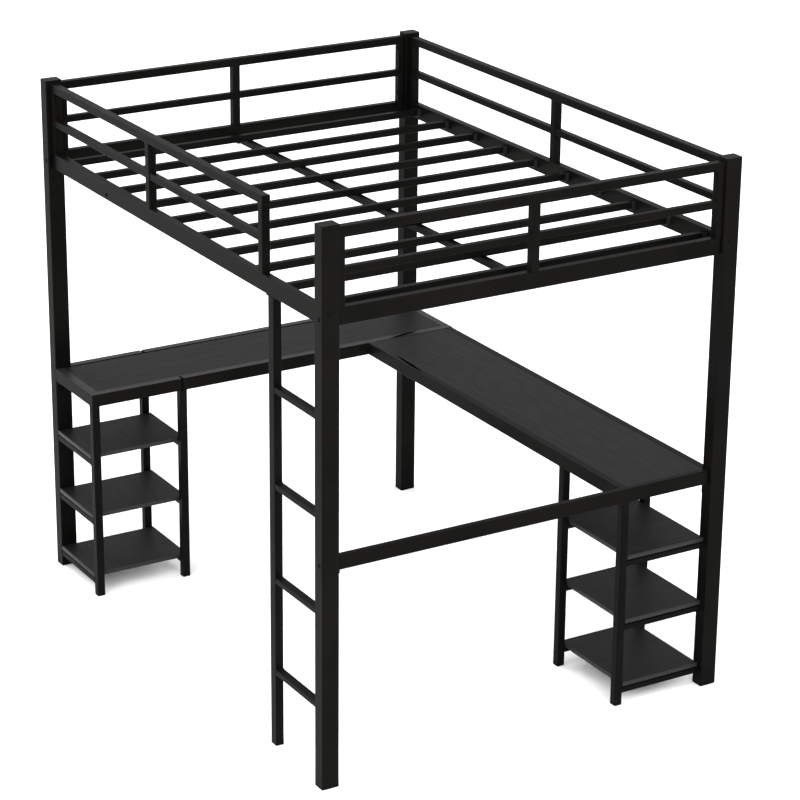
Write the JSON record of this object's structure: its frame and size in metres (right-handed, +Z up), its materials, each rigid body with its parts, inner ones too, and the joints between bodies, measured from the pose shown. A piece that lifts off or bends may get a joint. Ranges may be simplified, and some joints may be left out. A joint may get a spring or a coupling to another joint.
{
  "type": "loft bed with desk",
  "caption": "Steel tube loft bed with guard rails, a side ladder, an L-shaped desk and two open shelf units underneath.",
  "frame": {"origin": "middle of the footprint, on the floor under the post feet", "axes": "+X across the bed towards the wall side, +Y along the bed from the ladder end to the head end, +Z up"},
  "size_m": [1.598, 2.106, 1.927],
  "materials": {
    "frame_paint": "satin black powder coat",
    "hidden_steel": "matt black powder coat",
    "plastic": "fine matt moulded plastic",
    "slat_holder_plastic": "grey matt moulded plastic",
    "laminate": "dark grey laminate with a fine grain",
    "fasteners": "black oxide",
    "cover_strip": "satin dark grey edging strip"
  },
  "bodies": {
    "root": {"post_foot_ladder": "frame_paint", "post_foot_wall": "frame_paint", "post_head_ladder": "frame_paint", "post_head_wall": "frame_paint", "post_caps": "frame_paint", "post_feet": "plastic", "end_rail_foot": "frame_paint", "end_rail_head": "frame_paint", "side_rail_ladder": "frame_paint", "side_rail_wall": "frame_paint", "rail_end_plates": "hidden_steel", "cross_end_plates": "hidden_steel", "rail_plug": "plastic", "guard_foot": "frame_paint", "guard_head": "frame_paint", "guard_wall": "frame_paint", "guard_ladder": "frame_paint", "slats": "frame_paint", "slat_holders": "slat_holder_plastic", "centre_beam": "frame_paint", "beam_brackets": "hidden_steel", "ladder_stile": "frame_paint", "ladder_rungs": "frame_paint", "stile_plate": "hidden_steel", "cross_bar": "frame_paint", "desk_frame_unit": "frame_paint", "desk_frame_head": "frame_paint", "desk_frame_long": "frame_paint", "desk_joiners": "plastic", "desk_supports": "hidden_steel", "desk_board_head": "laminate", "desk_board_long": "laminate", "desk_strips_head": "cover_strip", "desk_strip_long": "laminate", "shelf_legs_head": "frame_paint", "shelf_legs_foot": "frame_paint", "shelf_bars_head": "frame_paint", "shelf_bars_foot": "frame_paint", "shelf_head_low": "laminate", "shelf_head_mid": "laminate", "shelf_head_top": "laminate", "shelf_foot_low": "laminate", "shelf_foot_mid": "laminate", "shelf_foot_top": "laminate", "shelf_pads": "plastic", "leg_glides": "plastic", "frame_bolts": "fasteners", "frame_nuts": "fasteners", "guard_bolts": "fasteners", "guard_nuts": "fasteners", "cross_bolts": "fasteners", "cross_nuts": "fasteners", "desk_brackets": "hidden_steel", "bracket_screws": "fasteners"}
  },
  "joints": []
}
